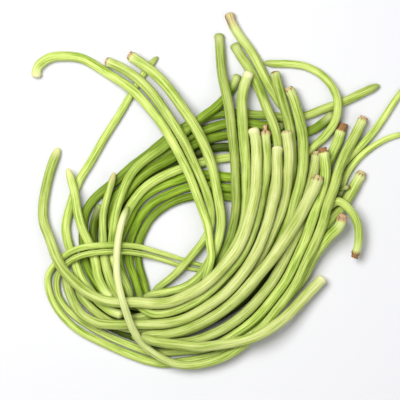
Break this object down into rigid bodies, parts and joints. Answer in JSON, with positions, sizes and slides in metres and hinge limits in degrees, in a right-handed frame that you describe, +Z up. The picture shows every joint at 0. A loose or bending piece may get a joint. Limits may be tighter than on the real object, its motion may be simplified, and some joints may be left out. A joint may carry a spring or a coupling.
{
  "type": "yardlong bean bunch",
  "caption": "A loose coiled bunch of fresh yardlong bean pods lying flat, their stem ends fanned out at the back right and their thin tips curling round to the left",
  "frame": {"origin": "On the table under the middle of the bunch's box", "axes": "+X to the right as the bunch is seen from above, +Y to its back edge, +Z up"},
  "size_m": [0.3766, 0.357, 0.0408],
  "materials": {
    "skin_fresh": "waxy yellow-green pod skin with fine lengthwise ridges, stands in for plant skin",
    "skin_pale": "waxy pale whitish-green pod skin with fine lengthwise ridges, stands in for plant skin",
    "skin_deep": "darker green pod skin with fine lengthwise ridges, stands in for plant skin"
  },
  "bodies": {
    "root": {"pod_under_outer": "skin_deep", "pod_under_front": "skin_deep", "pod_under_middle": "skin_deep", "pod_under_inner": "skin_deep", "pod_under_back": "skin_deep", "pod_under_left": "skin_deep", "pod_far_right": "skin_deep", "pod_inner_low": "skin_deep", "pod_inner": "skin_deep", "pod_fan_low": "skin_deep", "pod_fan_high": "skin_deep", "pod_fan_middle": "skin_deep", "pod_arched": "skin_fresh", "pod_short_back": "skin_deep", "pod_left_inner": "skin_fresh", "pod_far_left": "skin_fresh", "pod_left_short": "skin_fresh", "pod_right_long": "skin_fresh", "pod_right_thin": "skin_fresh", "pod_right_brown": "skin_fresh", "pod_right_stub": "skin_fresh", "pod_hooked": "skin_fresh", "pod_right_stalk": "skin_deep", "pod_pair_upper": "skin_fresh", "pod_pair_lower": "skin_fresh", "pod_back_right": "skin_deep", "pod_back_far": "skin_fresh", "pod_pale_right": "skin_pale", "pod_upright_left": "skin_deep", "pod_upright": "skin_fresh", "pod_pink_end": "skin_fresh", "pod_wide_coil": "skin_pale", "pod_bright_coil": "skin_pale", "pod_yellow": "skin_pale", "pod_broad": "skin_pale", "pod_loop_inner": "skin_fresh", "pod_loop_outer": "skin_fresh", "pod_white_streak": "skin_pale", "pod_front": "skin_fresh", "pod_crossing_low": "skin_fresh", "pod_crossing_right": "skin_fresh", "pod_crossing_top": "skin_fresh"}
  },
  "joints": []
}
